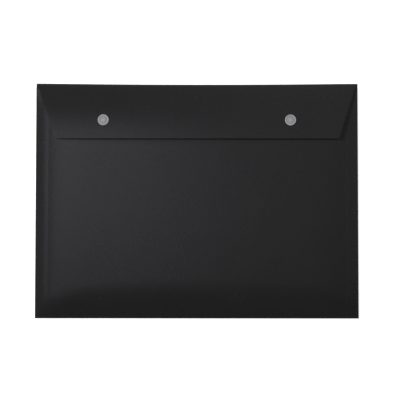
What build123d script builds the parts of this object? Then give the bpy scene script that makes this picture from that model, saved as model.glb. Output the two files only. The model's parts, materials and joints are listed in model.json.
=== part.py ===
from build123d import *
import math
import os

# Document wallet lying on its back, in millimetres.
# X runs across, +Y runs up to the flap's fold, +Z points away from the back panel.

# Sheet
sheet_thickness = 0.8
wallet_width = 332.0
side_lean = 1.5
wallet_height = 240.7

# Folds, by the clear radius inside each one
bottom_fold_inner_radius = 0.7
side_fold_inner_radius = 0.3
crease_inner_radius = 1.2

# Side tabs
tab_width = 10.8
tab_bottom_gap = 17.0
tab_bottom_taper = 9.0
tab_to_bulge_gap = 1.2
back_panel_side_inset = 0.4
side_top_relief = 4.0
corner_gap = 0.3

# Flap
flap_depth = 56.75
flap_side_slant = 19.8
flap_root_angle = 16.0
flap_edge_angle = 4.0
flap_corner_radius = 1.6

# Front panel
rise_power = 2.5
bottom_rise_length = 41.0
crown_bend_length = 20.0
side_roll_height = 3.1
side_roll_rise = 24.0
side_roll_fade = 26.0
flank_width = 48.5
mouth_above_stud = 8.5
mouth_past_crown = 24.0
mouth_shoulder_width = 22.0
mouth_corner_radius = 12.0
bulge_handle_share = 1 / 3
rise_station_shares = (0.0, 0.25, 0.5, 0.75)
level_stations = 11
bend_station_shares = (0.0, 0.5)
covered_station_shares = (0.0, 0.5)

# Press-studs
stud_inside_crown = 7.9
stud_above_flap_edge = 18.8
flap_to_front_gap = 3.5
seat_gap = 0.08
running_gap = 0.15
cap_diameter = 11.5
cap_height = 1.3
cap_rim_width = 1.5
cap_dish_depth = 0.3
cap_edge_radius = 0.5
cap_nub_diameter = 2.4
cap_nub_height = 0.2
post_diameter = 3.0
post_hole_gap = 0.1
rivet_diameter = 4.4
rivet_thickness = 0.35
socket_diameter = 10.6
socket_web_thickness = 0.4
socket_edge_radius = 0.4
ball_diameter = 4.4
ball_edge_radius = 0.4
ball_flange_diameter = 10.6
ball_flange_thickness = 0.62
snap_gap = 0.2
back_diameter = 11.0
back_thickness = 0.9
back_edge_radius = 0.3

cut_overrun = 5.0

# Worked out from the sizes above
top_y = wallet_height / 2
bottom_y = -top_y
bottom_fold_outer = bottom_fold_inner_radius + sheet_thickness
side_fold_outer = side_fold_inner_radius + sheet_thickness
crease_outer = crease_inner_radius + sheet_thickness
panel_bottom_y = bottom_y + bottom_fold_outer
hinge_y = top_y - crease_outer
hinge_z = crease_outer
side_top_y = top_y - side_top_relief
side_bottom_y = panel_bottom_y + corner_gap
flap_edge_y = top_y - flap_depth
stud_y = flap_edge_y + stud_above_flap_edge
mouth_y = stud_y + mouth_above_stud
level_start_y = panel_bottom_y + bottom_rise_length
bend_start_y = flap_edge_y - crown_bend_length
crease_half_length = wallet_width / 2 - side_lean - back_panel_side_inset

tab_z = sheet_thickness
side_fold_z = tab_z + side_fold_outer
flange_z = side_fold_z + side_fold_inner_radius
bottom_fold_z = bottom_fold_outer

root_sine = math.sin(math.radians(flap_root_angle))
root_cosine = math.cos(math.radians(flap_root_angle))
edge_sine = math.sin(math.radians(flap_edge_angle))
flap_run = flap_depth - crease_outer * (1 - root_sine)
flap_radius = flap_run / (root_sine - edge_sine)
flap_centre_y = hinge_y - (flap_radius - crease_outer) * root_sine
flap_centre_z = hinge_z - (flap_radius - crease_outer) * root_cosine
stud_angle = math.degrees(math.asin((stud_y - flap_centre_y) / flap_radius))
front_radius = flap_radius - sheet_thickness - flap_to_front_gap


def half_width(y):
    share = (y - bottom_y) / wallet_height
    return wallet_width / 2 - side_lean * share


def panel_half_width(y):
    return half_width(y) - side_fold_outer


def bulge_half_width(y):
    return panel_half_width(y) - tab_width - tab_to_bulge_gap


def crown_half_width(y):
    return bulge_half_width(y) - flank_width


def covered_height(y):
    # Under the flap the panel follows the flap's own curve, one stud gap below it.
    rise = math.sqrt(front_radius**2 - (y - flap_centre_y) ** 2)
    return flap_centre_z + rise - flange_z - sheet_thickness


def covered_slope(y):
    return -(y - flap_centre_y) / math.sqrt(front_radius**2 - (y - flap_centre_y) ** 2)


def eased(share):
    # Sets off at its full slope and levels out.
    held = min(max(share, 0), 1)
    return 1 - (1 - held) ** rise_power


def bulge_height(y):
    # The crown rises from the bottom fold, runs level, and bends down into the covered stretch.
    if y > mouth_y:
        return max(covered_height(mouth_y) + covered_slope(mouth_y) * (y - mouth_y), 0)
    if y >= flap_edge_y:
        return covered_height(y)
    edge_slope = covered_slope(flap_edge_y)
    bend_share = max(y - bend_start_y, 0) / crown_bend_length
    crown_level = covered_height(flap_edge_y) - edge_slope * crown_bend_length / 2
    bend = edge_slope * crown_bend_length / 2 * bend_share**2
    return crown_level * eased((y - panel_bottom_y) / bottom_rise_length) + bend


def roll_height(y):
    # Along the sides the panel rolls up off its folds, less and less towards both ends.
    from_bottom = eased((y - panel_bottom_y) / side_roll_rise)
    from_top = eased((side_top_y - y) / side_roll_fade)
    return side_roll_height * from_bottom * from_top


def fold_sector(centre, inner_radius, start_angle, turn):
    # Sheet bent round a fold: a ring sector one sheet thick.
    inner = CenterArc(centre, inner_radius, start_angle, turn)
    outer = CenterArc(centre, inner_radius + sheet_thickness, start_angle, turn)
    edges = [inner, outer, Line(inner @ 0, outer @ 0), Line(inner @ 1, outer @ 1)]
    return make_face(edges)


def plate(corners, low_z):
    # One sheet thick, from its outline seen from above.
    outline = make_face(Polyline(*corners, close=True))
    return extrude(Pos(0, 0, low_z) * outline, sheet_thickness)


def mirrored(points):
    return [(-x, y) for x, y in reversed(points)]


def back_panel():
    low = half_width(panel_bottom_y) - back_panel_side_inset
    high = half_width(hinge_y) - back_panel_side_inset
    right = [(low, panel_bottom_y), (high, hinge_y)]
    return plate(right + mirrored(right), 0)


def bottom_fold():
    sector = fold_sector((panel_bottom_y, bottom_fold_z), bottom_fold_inner_radius, 90, 180)
    return extrude(Plane.YZ * sector, panel_half_width(panel_bottom_y), both=True)


def side_fold(side):
    # Runs up the slightly leaning side edge.
    start = Vector(side * panel_half_width(side_bottom_y), side_bottom_y, side_fold_z)
    finish = Vector(side * panel_half_width(side_top_y), side_top_y, side_fold_z)
    sector = fold_sector((0, 0), side_fold_inner_radius, -90, side * 180)
    lower = Plane(start, x_dir=(1, 0, 0), z_dir=(0, -1, 0)) * sector
    upper = Plane(finish, x_dir=(1, 0, 0), z_dir=(0, -1, 0)) * sector
    return loft([lower, upper], ruled=True)


def side_tab(side):
    low_y = side_bottom_y + tab_bottom_gap
    corners = [
        (side * panel_half_width(low_y), low_y),
        (side * panel_half_width(side_top_y), side_top_y),
        (side * (panel_half_width(side_top_y) - tab_width), side_top_y),
        (side * (panel_half_width(low_y) - tab_width), low_y + tab_bottom_taper),
    ]
    return plate(corners, tab_z)


def front_section(y):
    # Flanges roll up over the tabs, then a smooth flank runs to a level crown.
    flange = panel_half_width(y)
    foot = bulge_half_width(y)
    roll_middle = (flange + foot) / 2
    crown_edge = crown_half_width(y)
    handle = flank_width * bulge_handle_share
    edges = []
    for level in (flange_z, flange_z + sheet_thickness):
        ridge = level + roll_height(y)
        crown = level + bulge_height(y)
        for side in (-1, 1):
            roll = [
                (side * flange, level),
                (side * roll_middle, ridge),
                (side * foot, ridge),
            ]
            flank = [
                (side * foot, ridge),
                (side * (foot - handle), ridge),
                (side * (crown_edge + handle), crown),
                (side * crown_edge, crown),
            ]
            edges.append(Bezier(*roll))
            edges.append(Bezier(*flank))
        edges.append(Line((-crown_edge, crown), (crown_edge, crown)))
    for side in (-1, 1):
        edges.append(Line((side * flange, flange_z), (side * flange, flange_z + sheet_thickness)))
    return Pos(0, y, 0) * (Plane.XZ * make_face(edges))


def front_stations():
    level = bend_start_y - level_start_y
    covered = mouth_y - flap_edge_y
    stations = [panel_bottom_y + share * bottom_rise_length for share in rise_station_shares]
    stations += [level_start_y + level * index / level_stations for index in range(level_stations)]
    stations += [bend_start_y + share * crown_bend_length for share in bend_station_shares]
    stations += [flap_edge_y + share * covered for share in covered_station_shares]
    level_y = mouth_y - covered_height(mouth_y) / covered_slope(mouth_y)
    return stations + [mouth_y, (mouth_y + level_y) / 2, level_y, side_top_y]


def mouth_cut():
    low_half = crown_half_width(mouth_y) + mouth_past_crown
    high_half = low_half + mouth_shoulder_width
    above = side_top_y + cut_overrun
    right = [(low_half, mouth_y), (high_half, side_top_y), (high_half, above)]
    outline = make_face(Polyline(*(right + mirrored(right)), close=True))
    low_corners = outline.vertices().sort_by(Axis.Y)[:2]
    outline = fillet(low_corners, mouth_corner_radius)
    depth = flange_z + sheet_thickness + covered_height(mouth_y) + cut_overrun
    return extrude(outline, depth)


def stud_frame(side):
    # On the flap's outer face, with Z along the flap's normal.
    tilt = math.radians(stud_angle)
    place = (
        side * (crown_half_width(stud_y) - stud_inside_crown),
        stud_y,
        flap_centre_z + flap_radius * math.cos(tilt),
    )
    return Plane(place, x_dir=(1, 0, 0), z_dir=(0, math.sin(tilt), math.cos(tilt)))


def disc(diameter, low, high):
    seat = (Align.CENTER, Align.CENTER, Align.MIN)
    return Pos(0, 0, low) * Cylinder(diameter / 2, high - low, align=seat)


def post_hole(low, high):
    return disc(post_diameter + 2 * post_hole_gap, low - cut_overrun, high + cut_overrun)


# Levels along a stud's axis, measured from the flap's outer face
flap_inner_level = -sheet_thickness
socket_top_level = flap_inner_level - seat_gap
front_level = flap_inner_level - flap_to_front_gap
flange_low_level = front_level + seat_gap
flange_top_level = flange_low_level + ball_flange_thickness
socket_low_level = flange_top_level + running_gap
web_low_level = socket_top_level - socket_web_thickness
rivet_low_level = web_low_level - rivet_thickness
ball_top_level = rivet_low_level - running_gap
front_inner_level = front_level - sheet_thickness
back_top_level = front_inner_level - seat_gap


def front_panel():
    panel = loft([front_section(y) for y in front_stations()])
    panel -= mouth_cut()
    for side in (-1, 1):
        panel -= stud_frame(side) * post_hole(front_inner_level, front_level)
    return panel


def flap_crease():
    sector = fold_sector((hinge_y, hinge_z), crease_inner_radius, -90, 180 - flap_root_angle)
    return extrude(Plane.YZ * sector, crease_half_length, both=True)


def flap():
    turn = flap_root_angle - flap_edge_angle + math.degrees(cut_overrun / flap_radius)
    centre = (flap_centre_y, flap_centre_z)
    sector = fold_sector(centre, flap_radius - sheet_thickness, 90 - flap_root_angle, turn)
    sheet = extrude(Plane.YZ * sector, crease_half_length + cut_overrun, both=True)
    edge_half = crease_half_length - flap_side_slant
    right = [(edge_half, flap_edge_y), (crease_half_length, top_y)]
    outline = make_face(Polyline(*(right + mirrored(right)), close=True))
    low_corners = outline.vertices().sort_by(Axis.Y)[:2]
    outline = fillet(low_corners, flap_corner_radius)
    depth = flap_centre_z + flap_radius + cut_overrun
    panel = sheet & extrude(outline, depth)
    for side in (-1, 1):
        panel -= stud_frame(side) * post_hole(flap_inner_level, 0)
    return panel


def stud_cap(side):
    # Dished cap with a rim and a centre nub; its post is riveted over inside the socket.
    cap = disc(cap_diameter, seat_gap, seat_gap + cap_height)
    cap = fillet(cap.edges().sort_by(Axis.Z)[-1:], cap_edge_radius)
    dish_low = seat_gap + cap_height - cap_dish_depth
    cap -= disc(cap_diameter - 2 * cap_rim_width, dish_low, dish_low + cap_dish_depth + cut_overrun)
    cap += disc(cap_nub_diameter, dish_low, dish_low + cap_nub_height)
    cap += disc(post_diameter, web_low_level, seat_gap)
    cap += disc(rivet_diameter, rivet_low_level, web_low_level)
    return stud_frame(side) * cap


def stud_socket(side):
    body = disc(socket_diameter, socket_low_level, socket_top_level)
    body = fillet(body.edges().sort_by(Axis.Z)[:1], socket_edge_radius)
    body -= post_hole(socket_low_level, socket_top_level)
    body -= disc(ball_diameter + 2 * snap_gap, socket_low_level - cut_overrun, web_low_level)
    return stud_frame(side) * body


def stud_ball(side):
    ball = disc(ball_diameter, flange_top_level, ball_top_level)
    ball = fillet(ball.edges().sort_by(Axis.Z)[-1:], ball_edge_radius)
    ball += disc(ball_flange_diameter, flange_low_level, flange_top_level)
    ball -= disc(post_diameter + 2 * post_hole_gap, flange_low_level - cut_overrun, flange_top_level)
    return stud_frame(side) * ball


def stud_back(side):
    back = disc(back_diameter, back_top_level - back_thickness, back_top_level)
    back = fillet(back.edges().sort_by(Axis.Z)[:1], back_edge_radius)
    back += disc(post_diameter, back_top_level, flange_top_level)
    return stud_frame(side) * back


pieces = {
    "back_panel": back_panel(),
    "bottom_fold": bottom_fold(),
    "front_panel": front_panel(),
    "flap_crease": flap_crease(),
    "flap": flap(),
}
for name, side in (("left", -1), ("right", 1)):
    pieces[f"{name}_side_fold"] = side_fold(side)
    pieces[f"{name}_side_tab"] = side_tab(side)
    pieces[f"{name}_stud_cap"] = stud_cap(side)
    pieces[f"{name}_stud_socket"] = stud_socket(side)
    pieces[f"{name}_stud_ball"] = stud_ball(side)
    pieces[f"{name}_stud_back"] = stud_back(side)

os.makedirs("parts", exist_ok=True)
for node, shape in pieces.items():
    export_step(shape, f"parts/{node}.step")
stud_x = crown_half_width(stud_y) - stud_inside_crown
print(f"flap radius {flap_radius:.1f}, stud tilt {stud_angle:.2f} degrees, studs at {stud_x:.2f}")
print(f"crown {bulge_height(flap_edge_y):.2f} at the flap edge, {bulge_height(mouth_y):.2f} at the mouth")
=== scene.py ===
import json
import math

import bpy
import numpy as np
from mathutils import Matrix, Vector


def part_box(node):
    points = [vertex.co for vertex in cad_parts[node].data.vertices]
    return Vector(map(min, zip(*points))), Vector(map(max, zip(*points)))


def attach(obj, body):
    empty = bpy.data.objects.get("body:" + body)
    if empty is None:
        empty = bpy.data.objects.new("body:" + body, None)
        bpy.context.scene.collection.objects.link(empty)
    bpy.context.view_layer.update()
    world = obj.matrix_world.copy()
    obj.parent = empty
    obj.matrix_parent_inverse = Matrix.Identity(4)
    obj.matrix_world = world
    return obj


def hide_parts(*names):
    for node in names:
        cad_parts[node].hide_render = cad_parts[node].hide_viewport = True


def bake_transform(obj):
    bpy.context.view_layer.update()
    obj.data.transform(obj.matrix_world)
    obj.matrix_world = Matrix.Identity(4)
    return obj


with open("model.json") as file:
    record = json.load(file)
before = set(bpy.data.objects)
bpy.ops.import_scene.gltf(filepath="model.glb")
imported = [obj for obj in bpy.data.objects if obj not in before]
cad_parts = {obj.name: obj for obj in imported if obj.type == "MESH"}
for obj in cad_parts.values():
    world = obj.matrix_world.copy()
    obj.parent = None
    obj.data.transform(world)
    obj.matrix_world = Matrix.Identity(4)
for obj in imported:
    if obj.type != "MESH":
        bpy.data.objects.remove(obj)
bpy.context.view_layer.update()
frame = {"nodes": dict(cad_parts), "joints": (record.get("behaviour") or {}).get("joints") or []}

# A black polypropylene document wallet with two grey press-studs, lying on its back.
# Metres throughout; X runs across, +Y runs up to the flap's crease, +Z points away from the back panel.

mm = 0.001
white = (1, 1, 1, 1)


def linearColour(hexText):
    # sRGB hex to the linear RGBA that shaders take
    srgb = np.array([int(hexText[i:i + 2], 16) for i in (1, 3, 5)]) / 255
    linear = np.where(srgb <= 0.04045, srgb / 12.92, ((srgb + 0.055) / 1.055) ** 2.4)
    return (*linear.tolist(), 1.0)


def addNode(tree, kind, inputs=None, **settings):
    # An input is a plain value, or a (node, output) pair to link
    node = tree.nodes.new(kind)
    for name, value in settings.items():
        setattr(node, name, value)
    for socket, value in (inputs or {}).items():
        if isinstance(value, tuple) and isinstance(value[0], bpy.types.Node):
            tree.links.new(value[0].outputs[value[1]], node.inputs[socket])
        else:
            node.inputs[socket].default_value = value
    return node


def newMaterial(name):
    material = bpy.data.materials.new(name)
    material.use_nodes = True
    material.node_tree.nodes.clear()
    return material, material.node_tree


def smoothStep(share):
    # Level at both ends: three times the square less twice the cube
    held = np.clip(share, 0, 1)
    return held * held * (3 - 2 * held)


def boxOf(node):
    low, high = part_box(node)
    return np.array(low), np.array(high)


# Materials

plasticForm = {
    "cloudDetail": 3.0,
    "grainDetail": 2.0,
    "grainRoughness": 0.65,
    "grainSpan": (0.2, 0.8),          # the grain noise keeps to about this span
    "evenShare": 0.5,                 # cloud and grain count alike in the colour
}

sheetLook = {
    "colours": ("#1c1c1d", "#232324"),
    "roughness": (0.26, 0.28),
    "ior": 1.49,
    "grainSize": 1.6 * mm,            # the real emboss is about 0.2 mm; drawn coarser so that it shows
    "grainDepth": 0.014 * mm,
    "sheen": (0.40, 0.60),            # the emboss's pits hold back some of the shine
    "cloudSize": 38 * mm,
}

studLook = {
    "colours": ("#8b8b8d", "#9a9a9d"),
    "rubbed": "#b4b4b7",              # painted highlight: a paler colour towards the top of each stud, where the light falls
    "roughness": (0.42, 0.52),
    "ior": 1.48,
    "grainSize": 0.9 * mm,            # the mould's spark texture is finer; drawn coarser so that it shows
    "grainDepth": 0.004 * mm,
    "sheen": (0.45, 0.55),
    "cloudSize": 4 * mm,
}


def plasticFinish(name, look, form):
    # A soft cloud and a fine grain shift the colour a little; the cloud shifts the roughness too,
    # and the grain gives the bump and breaks up the sheen
    material, tree = newMaterial(name)
    place = addNode(tree, "ShaderNodeTexCoord")
    cloud = addNode(tree, "ShaderNodeTexNoise", {
        "Vector": (place, "Object"), "Scale": 1 / look["cloudSize"], "Detail": form["cloudDetail"]})
    grain = addNode(tree, "ShaderNodeTexNoise", {
        "Vector": (place, "Object"), "Scale": 1 / look["grainSize"],
        "Detail": form["grainDetail"], "Roughness": form["grainRoughness"]})
    mixed = addNode(tree, "ShaderNodeMath", {0: (cloud, "Fac"), 1: (grain, "Fac")}, operation="ADD")
    blend = addNode(tree, "ShaderNodeMath", {
        0: (mixed, "Value"), 1: form["evenShare"]}, operation="MULTIPLY")
    colour = addNode(tree, "ShaderNodeMixRGB", {
        "Fac": (blend, "Value"),
        "Color1": linearColour(look["colours"][0]), "Color2": linearColour(look["colours"][1])})
    # Where the look has one, a painted highlight turns the colour paler towards each stud's top
    if "rubbed" in look:
        highlightShare = addNode(tree, "ShaderNodeAttribute", attribute_name="rubbed")
        colour = addNode(tree, "ShaderNodeMixRGB", {
            "Fac": (highlightShare, "Fac"), "Color1": (colour, "Color"), "Color2": linearColour(look["rubbed"])})
    rough = addNode(tree, "ShaderNodeMapRange", {
        "Value": (cloud, "Fac"), "To Min": look["roughness"][0], "To Max": look["roughness"][1]})
    sheen = addNode(tree, "ShaderNodeMapRange", {
        "Value": (grain, "Fac"), "From Min": form["grainSpan"][0], "From Max": form["grainSpan"][1],
        "To Min": look["sheen"][0], "To Max": look["sheen"][1]})
    bump = addNode(tree, "ShaderNodeBump", {"Height": (grain, "Fac"), "Distance": look["grainDepth"]})
    shader = addNode(tree, "ShaderNodeBsdfPrincipled", {
        "Base Color": (colour, "Color"), "Roughness": (rough, "Result"), "IOR": look["ior"],
        "Specular IOR Level": (sheen, "Result"), "Normal": (bump, "Normal")})
    addNode(tree, "ShaderNodeOutputMaterial", {"Surface": (shader, "BSDF")})
    return material


# Extruded polypropylene sheet with a rolled matt emboss: a deep black with a soft, wide sheen
polypropylene = plasticFinish("embossed_polypropylene_sheet", sheetLook, plasticForm)
# Injection-moulded acetal: mid grey, evenly matt, a little cloudy where the moulding flowed
acetal = plasticFinish("moulded_grey_acetal", studLook, plasticForm)
print("materials: sheet and studs")


# Mesh helpers

edgeForm = {
    "easeWidth": 0.22 * mm,
    "easeSegments": 2,
    "easeAngle": math.radians(50),    # cut edges sharper than this are eased
    "sharpAngle": math.radians(40),   # and the shading breaks at edges sharper than this
}


def gridFaces(rows, columns):
    # Quads facing +Z where rows run up +Y and columns run along +X
    corner = (np.arange(rows - 1)[:, None] * columns + np.arange(columns - 1)).ravel()
    return np.stack([corner, corner + 1, corner + columns + 1, corner + columns], axis=1)


def newPiece(name, points, faces, material):
    # Only the points that some face uses go into the mesh
    points = np.asarray(points).reshape(-1, 3)
    used = np.unique(np.concatenate([np.ravel(face) for face in faces]))
    renumber = np.zeros(len(points), int)
    renumber[used] = np.arange(len(used))
    mesh = bpy.data.meshes.new(name)
    mesh.from_pydata(points[used].tolist(), [], [renumber[face].tolist() for face in faces])
    mesh.polygons.foreach_set("use_smooth", np.ones(len(mesh.polygons), bool))
    mesh.materials.append(material)
    piece = bpy.data.objects.new(name, mesh)
    bpy.context.scene.collection.objects.link(piece)
    return piece


def giveThickness(piece, thickness, form):
    # The grid is the outer face; the sheet grows inward from it, and its cut edges are eased a little
    solid = piece.modifiers.new("sheet", "SOLIDIFY")
    solid.thickness = thickness
    solid.offset = -1
    solid.use_even_offset = True
    ease = piece.modifiers.new("cut edges", "BEVEL")
    ease.width = form["easeWidth"]
    ease.segments = form["easeSegments"]
    ease.limit_method = "ANGLE"
    ease.angle_limit = form["easeAngle"]
    graph = bpy.context.evaluated_depsgraph_get()
    mesh = bpy.data.meshes.new_from_object(piece.evaluated_get(graph), depsgraph=graph)
    piece.modifiers.clear()
    piece.data = mesh
    mesh.set_sharp_from_angle(angle=form["sharpAngle"])


def seat(piece, body, slotName, *nodes):
    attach(piece, body)
    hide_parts(*nodes)


# Sizes read from the frame

backLow, backHigh = boxOf("back_panel")
sideLow, sideHigh = boxOf("right_side_fold")
bottomLow, bottomHigh = boxOf("bottom_fold")
frontLow, frontHigh = boxOf("front_panel")
creaseLow, creaseHigh = boxOf("flap_crease")
flapLow, flapHigh = boxOf("flap")
capLow, capHigh = boxOf("right_stud_cap")

hinge = np.array(frame["joints"][0]["pos_m"])
sheetThickness = backHigh[2] - backLow[2]
sideRadius = (sideHigh[2] - sideLow[2]) / 2
bottomRadius = (bottomHigh[2] - bottomLow[2]) / 2
creaseRadius = creaseHigh[1] - hinge[1]
sideLean = (sideHigh[0] - sideRadius - sideLow[0]) / (sideHigh[1] - sideLow[1])

# The flap's arc, from how far it rises over its run
rootAngle = math.acos((creaseHigh[2] - hinge[2]) / creaseRadius)
flapRun = hinge[1] + creaseRadius * math.sin(rootAngle) - flapLow[1]
flapRise = flapHigh[2] - creaseHigh[2]
edgeAngle = 2 * math.atan2(flapRise, flapRun) - rootAngle
flapRadius = flapRun / (math.sin(rootAngle) - math.sin(edgeAngle))
flapCentre = hinge - (flapRadius - creaseRadius) * np.array([0, math.sin(rootAngle), math.cos(rootAngle)])

studFromEdge = 18.8 * mm              # from the flap's free edge up to the studs
studX = (capLow[0] + capHigh[0]) / 2
studY = flapLow[1] + studFromEdge


def panelHalf(y):
    # Half width of the panel between the side folds, which lean in towards the top
    return sideHigh[0] - sideRadius - sideLean * (y - sideLow[1])


coverHalf = panelHalf(creaseHigh[1]) + sideRadius
print(f"flap arc: radius {flapRadius / mm:.1f} mm, "
      f"{math.degrees(rootAngle):.2f} to {math.degrees(edgeAngle):.2f} degrees")


# Front sheet: bottom fold, bulged panel and both side folds in one

frontForm = {
    "studGap": 3.5 * mm,              # clear between the flap and the panel under it
    "mouthY": studY + 8.5 * mm,       # where the mouth is cut, above the studs
    "mouthPastCrown": 24 * mm,        # the mouth stays level this far past the crown,
    "mouthShoulder": 22 * mm,         # and climbs to the side over this much more,
    "mouthEase": 0.35,                # easing in over this share of it
    "risePower": 2.5,
    "riseLength": 42 * mm,            # the crown climbs over this much of the bottom,
    "riseShrink": 0.3,                # faster towards the sides, by this share at the very edge,
    "bendLength": 20 * mm,            # and bends down over this much below the flap's edge,
    "bendPower": 4,                   # most of it close to the edge
    "rollWidth": 10.7 * mm,           # sides roll off this far in, over the tabs
    "rollAngle": math.radians(19.5),  # slope of the roll at the fold
    "rollPower": 1.3,
    "rollOpen": 24 * mm,              # the rolls open over this length at the bottom
    "rollFade": 36 * mm,              # and close up over this length under the flap
    "scoreWidth": 0.6 * mm,           # scored line along the roll's inner side
    "scoreDrop": 0.03 * mm,
    "flankWidth": 49.2 * mm,
    "swellSlope": 0.26,               # behind the line the flank swells at once, setting off at this slope
    "rows": 116,
    "foldSteps": 9,
    "rollSteps": 12,
    "scoreSteps": 5,
    "flankSteps": 30,
    "crownSteps": 44,
}


def eased(share, power):
    # Sets off at its full slope and levels out: one less a power of what is left
    return 1 - (1 - np.clip(share, 0, 1)) ** power


def flankRise(share):
    # Level at both ends, easing longest into the crown: 6 squares less 8 cubes plus 3 fourth powers
    return share * share * (6 - 8 * share + 3 * share * share)


def flankSwell(share):
    # Sets off at a slope of one and dies away at the crown: the share times the cube of what is left
    return share * (1 - share) ** 3


def crownRise(y, reach, form):
    # Under the flap the crown follows the flap's arc one stud gap lower, then runs straight past the mouth.
    # Below the flap's edge it climbs from the bottom fold, runs level and bends into that arc,
    # dropping by a power of how far it is into the bend.
    radius = flapRadius - sheetThickness - form["studGap"]
    mouthY = form["mouthY"]

    def arc(at):
        return flapCentre[2] + np.sqrt(radius ** 2 - (at - flapCentre[1]) ** 2) - sideHigh[2]

    def slope(at):
        return -(at - flapCentre[1]) / np.sqrt(radius ** 2 - (at - flapCentre[1]) ** 2)

    past = np.maximum(arc(mouthY) + slope(mouthY) * (y - mouthY), 0)
    bendDrop = -slope(flapLow[1]) * form["bendLength"] / 2
    bend = np.clip((y - flapLow[1]) / form["bendLength"] + 1, 0, 1)
    riseLength = form["riseLength"] * (1 - form["riseShrink"] * (reach / sideHigh[0]) ** 2)
    climb = eased((y - frontLow[1]) / riseLength, form["risePower"]) * (arc(flapLow[1]) + bendDrop)
    climb -= bendDrop * bend ** form["bendPower"]
    return np.where(y < flapLow[1], climb, np.where(y < mouthY, arc(np.minimum(y, mouthY)), past))


def mouthLine(reach, form):
    # Level across the mouth, then a shoulder that eases into a straight slant up to the side
    crownHalf = panelHalf(form["mouthY"]) - form["rollWidth"] - form["scoreWidth"] - form["flankWidth"]
    share = np.clip((reach - crownHalf - form["mouthPastCrown"]) / form["mouthShoulder"], 0, 1)
    ease = form["mouthEase"]
    ramp = np.where(share < ease, share ** 2 / (2 * ease), share - ease / 2) / (1 - ease / 2)
    return form["mouthY"] + (frontHigh[1] - form["mouthY"]) * ramp


def frontSheet(form):
    # Rows climb the sheet from under the bottom fold; columns cross it from under the left fold.
    # Across, each half is a fold arc, a convex roll-off, a scored line and a flank that swells
    # up to a level crown.
    fold, roll, score, flank = (np.linspace(0, 1, form[steps], endpoint=False)
                                for steps in ("foldSteps", "rollSteps", "scoreSteps", "flankSteps"))
    crown = np.linspace(-1, 1, form["crownSteps"])
    flankStart = form["rollWidth"] + form["scoreWidth"]
    rollIn = roll * form["rollWidth"]
    scoreIn = form["rollWidth"] + score * form["scoreWidth"]
    flankIn = flankStart + flank * form["flankWidth"]
    inward = np.concatenate([0 * fold, rollIn, scoreIn, flankIn])
    half = len(inward)
    sideReach = panelHalf(form["mouthY"]) - inward
    crownReach = np.abs(crown) * (panelHalf(form["mouthY"]) - flankStart - form["flankWidth"])
    reach = np.concatenate([sideReach, crownReach, sideReach[::-1]])
    topY = mouthLine(reach, form)

    # The first row ends the bottom fold, and the second is where the side folds begin
    climb = np.linspace(0, 1, form["rows"])[:, None]
    y = np.concatenate([np.full((1, len(topY)), frontLow[1]), sideLow[1] + climb * (topY - sideLow[1])])
    x = np.zeros_like(y)
    z = sideHigh[2] + crownRise(y, reach, form)
    middle = slice(half, half + len(crown))
    x[:, middle] = crown * (panelHalf(y[:, middle]) - flankStart - form["flankWidth"])

    # How far the rolls stand open, and from that the heights where each band of the left side starts
    leftY = y[:, :half]
    opened = eased((leftY - frontLow[1]) / form["rollOpen"], form["risePower"])
    opened *= eased((frontHigh[1] - leftY) / form["rollFade"], form["risePower"])
    angle = form["rollAngle"] * opened
    foldMiddle = (sideLow[2] + sideHigh[2]) / 2
    rollStart = -sideRadius * np.sin(angle)
    rollZ = foldMiddle + sideRadius * np.cos(angle)
    rollRise = np.tan(angle) * (form["rollWidth"] - rollStart) / form["rollPower"]
    ridgeZ = rollZ + rollRise
    footZ = ridgeZ - form["scoreDrop"] * opened

    # The left side, band by band from the fold inwards; the right side is its mirror image
    bandEnds = np.cumsum([len(fold), len(roll), len(score)])
    onFold, onRoll, onScore, onFlank = np.split(np.arange(half), bandEnds)
    foldTurn = -math.pi / 2 + fold * (math.pi - angle[:, onFold])
    swell = form["swellSlope"] * form["flankWidth"] * flankSwell(flank) * opened[:, onFlank]
    inset = np.concatenate([
        -sideRadius * np.cos(foldTurn),
        rollStart[:, onRoll] + roll * (form["rollWidth"] - rollStart[:, onRoll]),
        np.broadcast_to(scoreIn, (len(y), len(score))),
        np.broadcast_to(flankIn, (len(y), len(flank)))], axis=1)
    height = np.concatenate([
        foldMiddle + sideRadius * np.sin(foldTurn),
        rollZ[:, onRoll] + rollRise[:, onRoll] * eased(roll, form["rollPower"]),
        ridgeZ[:, onScore] + (footZ - ridgeZ)[:, onScore] * smoothStep(score),
        footZ[:, onFlank] + (z[:, onFlank] - footZ[:, onFlank]) * flankRise(flank) + swell], axis=1)
    x[:, :half] = inset - panelHalf(leftY)
    z[:, :half] = height

    # The lowest row runs out to the wallet's corners, and the bottom fold goes half a turn under it
    x[0, :len(fold)] = x[0, len(fold)] - sideRadius * np.linspace(1, 0, len(fold), endpoint=False)
    x[:, -half:] = -x[:, half - 1::-1]
    z[:, -half:] = z[:, half - 1::-1]
    z[0] = bottomHigh[2]
    underTurn = np.linspace(-math.pi / 2, math.pi / 2, 2 * form["foldSteps"], endpoint=False)[:, None]
    underX = np.repeat(x[:1], len(underTurn), axis=0)
    underY = frontLow[1] - bottomRadius * np.cos(underTurn) + 0 * underX
    underZ = bottomLow[2] + bottomRadius * (1 + np.sin(underTurn)) + 0 * underX
    under = np.stack([underX, underY, underZ], axis=-1)
    points = np.concatenate([under, np.stack([x, y, z], axis=-1)])

    # The side folds start one row above the bottom fold's end, so the faces between are left out
    rows, columns = points.shape[:2]
    faces = gridFaces(rows, columns)
    row, column = np.divmod(faces[:, 0], columns)
    onSideFold = (column < len(fold)) | (column >= columns - 1 - len(fold))
    faces = faces[~(onSideFold & (row == len(underTurn)))]
    return newPiece("front_sheet", points, faces, polypropylene)


front = frontSheet(frontForm)
giveThickness(front, sheetThickness, edgeForm)
seat(front, "pocket", "wallet_sheet", "front_panel", "bottom_fold", "left_side_fold", "right_side_fold")
print("front sheet:", len(front.data.polygons), "faces")


# Back panel, crease and flap: the sheet goes over the top in one run

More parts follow.
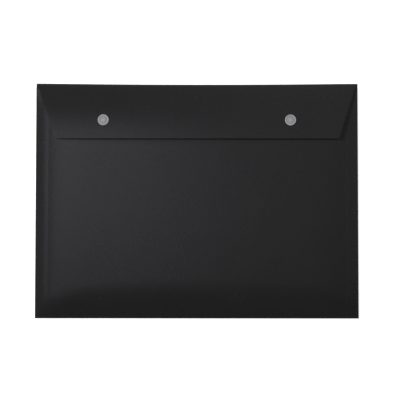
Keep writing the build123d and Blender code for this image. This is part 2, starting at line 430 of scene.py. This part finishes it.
coverForm = {
    "creaseBow": 1.05 * mm,           # the top crease is drawn in this far at its middle
    "bowPowers": (2.5, 1.5),          # and keeps straighter towards its ends
    "bowShare": 0.5,                  # share of the back panel that gives to it
    "rootInset": 1.9 * mm,            # the flap starts this far in from the sides
    "flapSlant": 18.0 * mm,           # and narrows by this much more on each side
    "cornerRadius": 0.6 * mm,
    "columns": 90,
    "backRows": 60,
    "creaseRows": 26,
    "flapRows": 60,
    "cornerRows": 7,
}


def drawnIn(share, form):
    # Deepest in the middle and nothing at the two ends:
    # one less a power of the share, raised to another power
    outer, inner = form["bowPowers"]
    return -form["creaseBow"] * (1 - np.abs(share) ** outer) ** inner


def backSheet(form):
    # Flat and facing down; its top edge follows the drawn-in crease
    share = np.linspace(-1, 1, form["columns"])[None, :]
    climb = np.linspace(0, 1, form["backRows"])[:, None]
    straight = backLow[1] + climb * (backHigh[1] - backLow[1])
    y = straight + drawnIn(share, form) * smoothStep((climb - 1 + form["bowShare"]) / form["bowShare"])
    half = backHigh[0] + (coverHalf - backHigh[0]) * climb
    points = np.stack([share * half, y, np.full_like(y, backLow[2])], axis=-1)
    return newPiece("back_sheet", points, gridFaces(*points.shape[:2])[:, ::-1], polypropylene)


def creaseSheet(form):
    # Round the hinge line, from the back panel to the flap's root; past the top edge it narrows
    share = np.linspace(-1, 1, form["columns"])[None, :]
    over = np.linspace(0, 1, form["creaseRows"])[:, None]
    turn = -math.pi / 2 + over * (math.pi - rootAngle)
    y = hinge[1] + creaseRadius * np.cos(turn) + drawnIn(share, form)
    half = coverHalf - form["rootInset"] * smoothStep(2 * over - 1)
    points = np.stack([share * half, y, hinge[2] + creaseRadius * np.sin(turn) + 0 * y], axis=-1)
    return newPiece("crease_sheet", points, gridFaces(*points.shape[:2])[:, ::-1], polypropylene)


def flapSheet(form):
    # An arc from the root to the free edge, straight across, with slanted sides and small round corners
    share = np.linspace(-1, 1, form["columns"])[None, :]
    radius = form["cornerRadius"]
    main = np.linspace(0, 1, form["flapRows"], endpoint=False) * (flapRun - radius)
    corner = flapRun - radius * (1 - np.sin(np.linspace(0, math.pi / 2, form["cornerRows"])))
    down = np.concatenate([main, corner])[:, None]
    straight = flapLow[1] + flapRun - down
    z = flapCentre[2] + np.sqrt(flapRadius ** 2 - (straight - flapCentre[1]) ** 2)
    half = coverHalf - form["rootInset"] - form["flapSlant"] * down / flapRun
    intoCorner = np.clip(down - flapRun + radius, 0, radius)
    half = half - radius + np.sqrt(radius ** 2 - intoCorner ** 2)
    y = straight + drawnIn(share, form) * (1 - smoothStep(down / flapRun))
    points = np.stack([share * half, y, z + 0 * y], axis=-1)
    return newPiece("flap_sheet", points, gridFaces(*points.shape[:2])[:, ::-1], polypropylene)


back = backSheet(coverForm)
giveThickness(back, sheetThickness, edgeForm)
seat(back, "pocket", "wallet_sheet", "back_panel")

crease = creaseSheet(coverForm)
giveThickness(crease, sheetThickness, edgeForm)
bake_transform(crease)
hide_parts("flap_crease")

flap = flapSheet(coverForm)
giveThickness(flap, sheetThickness, edgeForm)
seat(flap, "flap", "wallet_sheet", "flap")

for tab in ("left_side_tab", "right_side_tab"):
    frame["nodes"][tab].data.materials.clear()
    frame["nodes"][tab].data.materials.append(polypropylene)
print("back, crease and flap")


# Press-studs: profiles turned about each stud's axis

studForm = {
    "turnSteps": 72,
    "arcSteps": 5,
    "domeSteps": 9,
    "sharpAngle": math.radians(50),
    "seatGap": 0.08 * mm,
    "runningGap": 0.15 * mm,
    "capInset": 0.12 * mm,            # the cap stays this far inside its CAD solid
    "capHeight": 1.3 * mm,
    "rimWidth": 1.15 * mm,
    "dishDepth": 0.85 * mm,           # the cap's face is dished inside its rim
    "domeDrop": 0.1 * mm,             # and swells again to this far below the rim
    "postRadius": 1.5 * mm,
    "rivetRadius": 2.2 * mm,
    "rivetThickness": 0.35 * mm,
    "socketRadius": 5.3 * mm,
    "boreRadius": 2.4 * mm,
    "collarWidth": 1.0 * mm,
    "collarStep": 0.25 * mm,
    "webThickness": 0.4 * mm,
    "ballRadius": 2.2 * mm,
    "neckRadius": 1.9 * mm,
    "flangeRadius": 5.3 * mm,
    "flangeThickness": 0.62 * mm,
    "backRadius": 5.5 * mm,
    "backThickness": 0.9 * mm,
    "capRound": 0.6 * mm,
    "ballRound": 0.45 * mm,
    "round": 0.3 * mm,
    "smallRound": 0.15 * mm,          # finer edges, such as the collar's
    "tinyRound": 0.1 * mm,            # the feet of the rim and of the neck
    "highlightDepth": 0.25 * mm,            # the painted highlight reaches this far down from a stud's top
}


def roundedProfile(corners, steps):
    # Straight lines through (radius, height, rounding) corners;
    # each rounding is an arc tangent to both of its lines
    at = np.array(corners, float)
    points = [at[:1, :2]]
    for before, here, after in zip(at[:-2], at[1:-1], at[2:]):
        if not here[2]:
            points.append(here[None, :2])
            continue
        inward = (before - here)[:2] / np.linalg.norm((before - here)[:2])
        onward = (after - here)[:2] / np.linalg.norm((after - here)[:2])
        halfway = (inward + onward) / np.linalg.norm(inward + onward)
        halfTurn = math.acos(np.clip(inward @ onward, -1, 1)) / 2
        centre = here[:2] + halfway * here[2] / math.sin(halfTurn)
        share = np.linspace(0, 1, steps + 1)[:, None]
        chord = here[:2] + (inward * (1 - share) + onward * share) * here[2] / math.tan(halfTurn) - centre
        points.append(centre + chord / np.linalg.norm(chord, axis=1, keepdims=True) * here[2])
    return np.concatenate(points + [at[-1:, :2]])


def turned(name, corners, side, form):
    # The profile runs from the stud's axis round to the axis again, and is spun about it
    profile = roundedProfile(corners, form["arcSteps"])
    lean = math.asin((studY - flapCentre[1]) / flapRadius)
    axis = np.array([0, math.sin(lean), math.cos(lean)])
    over = np.array([0, math.cos(lean), -math.sin(lean)])
    origin = np.array([side * studX, flapCentre[1], flapCentre[2]]) + flapRadius * axis
    count = form["turnSteps"]
    spin = np.linspace(0, 2 * math.pi, count, endpoint=False)[:, None]
    around = np.cos(spin) * np.array([1, 0, 0]) + np.sin(spin) * over
    rings = profile[1:-1, 0, None, None] * around + profile[1:-1, 1, None, None] * axis
    points = origin + np.concatenate([rings.reshape(-1, 3), profile[[0, -1], 1, None] * axis])
    ring = np.arange(count)
    onward = (ring + 1) % count
    start = (np.arange(len(rings) - 1) * count)[:, None]
    quads = np.stack([start + ring, start + count + ring, start + count + onward, start + onward], axis=-1)
    last = (len(rings) - 1) * count
    top = np.stack([np.full(count, len(points) - 2), ring, onward], axis=-1)
    bottom = np.stack([np.full(count, len(points) - 1), last + onward, last + ring], axis=-1)
    piece = newPiece(name, points, [*quads.reshape(-1, 4), *top, *bottom], acetal)
    piece.data.set_sharp_from_angle(angle=form["sharpAngle"])
    # Painted highlight: palest at the very top, fading evenly with the depth below it
    below = profile[:, 1].max() - np.concatenate([np.repeat(profile[1:-1, 1], count), profile[[0, -1], 1]])
    rubbed = piece.data.attributes.new("rubbed", "FLOAT", "POINT")
    rubbed.data.foreach_set("value", np.clip(1 - below / form["highlightDepth"], 0, 1).astype(np.float32))
    return piece


def makeStuds(form):
    # Heights are along the stud's axis, from the flap's outer face
    socketTop = -sheetThickness - form["seatGap"]
    webLow = socketTop - form["webThickness"]
    rivetLow = webLow - form["rivetThickness"]
    frontTop = -sheetThickness - frontForm["studGap"]
    flangeLow = frontTop + form["seatGap"]
    flangeTop = flangeLow + form["flangeThickness"]
    socketLow = flangeTop + form["runningGap"]
    collarTop = socketLow + form["collarStep"]
    ballTop = rivetLow - form["runningGap"]
    backTop = frontTop - sheetThickness - form["seatGap"]
    backFoot = backTop - form["backThickness"]
    capTop = form["seatGap"] + form["capHeight"]
    capRadius = (capHigh[0] - capLow[0]) / 2 - form["capInset"]
    rimIn = capRadius - form["rimWidth"]
    backIn = form["backRadius"] - form["rimWidth"]
    collar = form["boreRadius"] + form["collarWidth"]
    soft, small, tiny = form["round"], form["smallRound"], form["tinyRound"]
    # The dome falls from its top by the square of the radius
    share = np.linspace(0, 1, form["domeSteps"], endpoint=False)
    domeZ = capTop - form["domeDrop"] - (form["dishDepth"] - form["domeDrop"]) * share ** 2
    dome = [(radius, height, 0) for radius, height in zip(share * rimIn, domeZ)]
    profiles = {
        "cap": ("flap", [
            *dome,
            (rimIn, capTop - form["dishDepth"], tiny),
            (rimIn + tiny, capTop, soft),
            (capRadius, capTop, form["capRound"]),
            (capRadius, form["seatGap"], 0),
            (form["postRadius"], form["seatGap"], 0),
            (form["postRadius"], webLow, 0),
            (form["rivetRadius"], webLow, 0),
            (form["rivetRadius"], rivetLow, small),
            (0, rivetLow, 0)]),
        "socket": ("flap", [
            (0, socketTop, 0),
            (form["socketRadius"], socketTop, 0),
            (form["socketRadius"], collarTop, soft),
            (collar + soft, collarTop, small),
            (collar, socketLow, small),
            (form["boreRadius"], socketLow, small),
            (form["boreRadius"], webLow, 0),
            (0, webLow, 0)]),
        "ball": ("pocket", [
            (0, ballTop, 0),
            (form["ballRadius"], ballTop, form["ballRound"]),
            (form["ballRadius"], (ballTop + flangeTop) / 2, soft),
            (form["neckRadius"], flangeTop, tiny),
            (form["flangeRadius"], flangeTop, soft),
            (form["flangeRadius"], flangeLow, 0),
            (0, flangeLow, 0)]),
        "back": ("pocket", [
            (0, backTop, 0),
            (form["backRadius"], backTop, 0),
            (form["backRadius"], backFoot, soft),
            (backIn, backFoot, small),
            (backIn - soft, backFoot + soft, small),
            (0, backFoot + soft, 0)]),
    }
    for kind, (body, corners) in profiles.items():
        for label, side in (("left", -1), ("right", 1)):
            piece = turned(f"{label}_stud_{kind}_turned", corners, side, form)
            seat(piece, body, "stud_plastic", f"{label}_stud_{kind}")


makeStuds(studForm)
print("press-studs: caps, sockets, balls and backs")


# Floor, lights and camera

stageForm = {
    "floorSize": 8.0,
    "floorDrop": 0.1 * mm,
    "flatRadius": 2.8,                # the sweep lies flat this far out,
    "sweepHeight": 0.8,               # and turns up by this much towards its edges
    "steps": 65,
    "floorColour": "#ebebeb",
    "floorRoughness": 0.9,
    "floorGlow": 0.75,                # white for the camera, with the shadow still showing
    "worldStrength": 0.06,            # dim all round, so that the panels give the light
}

coolTint = (1.01, 0.99, 1.09)
paleTint = (1.0, 0.995, 1.035)

lampForms = {
    "left_overhead_scrim": {
        "size": (1.6, 1.33), "place": (-0.8, 0.535, 1.2), "radiance": 0.06, "tint": paleTint},
    "right_overhead_scrim": {
        "size": (1.6, 1.33), "place": (0.8, 0.535, 1.2), "radiance": 0.19, "tint": paleTint},
    "rear_scrim": {
        "size": (2.4, 1.2), "place": (0.5, 1.8, 1.2), "radiance": 0.45, "tint": paleTint},
    "left_scrim": {
        "size": (1.2, 1.6), "place": (-1.6, 0.5, 0.6), "aim": (0, 0.5, 0.6), "radiance": 0.33,
        "tint": coolTint},
    "right_scrim": {
        "size": (1.2, 1.6), "place": (1.6, 0.5, 0.6), "aim": (0, 0.5, 0.6), "radiance": 0.32,
        "tint": paleTint},
    "left_softbox": {
        "size": (0.881, 0.60), "place": (-0.486, 0.142, 1.19), "radiance": 0.56, "turn": 11,
        "tint": coolTint},
    "softbox_core": {
        "size": (0.62, 0.36), "place": (-0.42, 0.20, 1.18), "radiance": 0.31, "turn": 17,
        "tint": coolTint},
    "middle_scrim": {
        "size": (0.36, 0.36), "place": (-0.20, -0.12, 1.18), "radiance": 0.17, "turn": 17,
        "tint": coolTint},
    "key_lamp": {
        "size": (1.0, 1.0), "place": (-2.6, 0.7, 3.4), "aim": (0, 0, 0), "radiance": 40.0,
        "inGloss": False},
    "fill_scrim": {
        "size": (3.0, 3.0), "place": (0, 0, 2.4), "radiance": 0.3, "inGloss": False},
}


def makeFloor(form):
    # Matt paper that shows white to the camera and in reflections
    material, tree = newMaterial("pale_paper_sweep")
    ray = addNode(tree, "ShaderNodeLightPath")
    seen = addNode(tree, "ShaderNodeMath", {
        0: (ray, "Is Camera Ray"), 1: (ray, "Is Glossy Ray")}, operation="MAXIMUM")
    seen = addNode(tree, "ShaderNodeMath", {
        0: (seen, "Value"), 1: (ray, "Is Transmission Ray")}, operation="MAXIMUM")
    glow = addNode(tree, "ShaderNodeMath", {0: (seen, "Value"), 1: form["floorGlow"]}, operation="MULTIPLY")
    shader = addNode(tree, "ShaderNodeBsdfPrincipled", {
        "Base Color": linearColour(form["floorColour"]), "Roughness": form["floorRoughness"],
        "Specular IOR Level": 0.0, "Emission Color": white, "Emission Strength": (glow, "Value")})
    addNode(tree, "ShaderNodeOutputMaterial", {"Surface": (shader, "BSDF")})
    # Past the flat part, the sweep rises by the smooth step of the distance from its middle
    half = form["floorSize"] / 2
    edge = np.linspace(-half, half, form["steps"])
    x, y = np.meshgrid(edge, edge)
    past = (np.hypot(x, y) - form["flatRadius"]) / (half - form["flatRadius"])
    points = np.stack([x, y, form["sweepHeight"] * smoothStep(past) - form["floorDrop"]], axis=-1)
    floor = newPiece("floor", points, gridFaces(len(edge), len(edge)), material)


def makeWorld(form):
    world = bpy.data.worlds.new("studio")
    bpy.context.scene.world = world
    world.use_nodes = True
    tree = world.node_tree
    tree.nodes.clear()
    dim = addNode(tree, "ShaderNodeBackground", {"Color": white, "Strength": form["worldStrength"]})
    addNode(tree, "ShaderNodeOutputWorld", {"Surface": (dim, "Background")})


def addPanel(name, size, place, radiance, aim=None, turn=0, tint=white[:3], inGloss=True):
    # A soft panel lamp given by its brightness; its power is that times pi times its area.
    # It looks straight down unless it is aimed at a point.
    lamp = bpy.data.lights.new(name, "AREA")
    lamp.shape = "RECTANGLE"
    lamp.size, lamp.size_y = size
    lamp.energy = radiance * math.pi * size[0] * size[1]
    lamp.color = tint
    panel = bpy.data.objects.new(name, lamp)
    bpy.context.scene.collection.objects.link(panel)
    backward = np.array(place, float) - np.array(aim or (*place[:2], 0), float)
    right = np.cross([0, 1, 0], backward)
    right /= np.linalg.norm(right)
    backward /= np.linalg.norm(backward)
    axes = np.stack([right, np.cross(backward, right), backward, place], axis=1)
    panel.matrix_world = Matrix(axes.tolist()).to_4x4() @ Matrix.Rotation(math.radians(turn), 4, "Z")
    panel.visible_camera = False
    panel.visible_glossy = inGloss


makeFloor(stageForm)
makeWorld(stageForm)
for lampName, lampForm in lampForms.items():
    addPanel(lampName, **lampForm)

cameraForm = {
    "distance": 1.4,
    "frameWidth": 409.85 * mm,        # what the picture spans at the wallet
    "focusHeight": 1.5 * mm,          # the height at which it spans that
    "over": (3.2 * mm, 1.1 * mm),     # the camera looks straight down on this point
    "roll": math.radians(0.05),
    "sensor": 36.0,
}


def makeCamera(form):
    lens = bpy.data.cameras.new("camera")
    lens.sensor_width = form["sensor"]
    lens.lens = form["sensor"] * (form["distance"] - form["focusHeight"]) / form["frameWidth"]
    camera = bpy.data.objects.new("camera", lens)
    bpy.context.scene.collection.objects.link(camera)
    camera.location = (*form["over"], form["distance"])
    camera.rotation_euler = (0, 0, form["roll"])
    bpy.context.scene.camera = camera


makeCamera(cameraForm)
bpy.context.scene.view_settings.view_transform = "Standard"
print("floor, lights and camera")
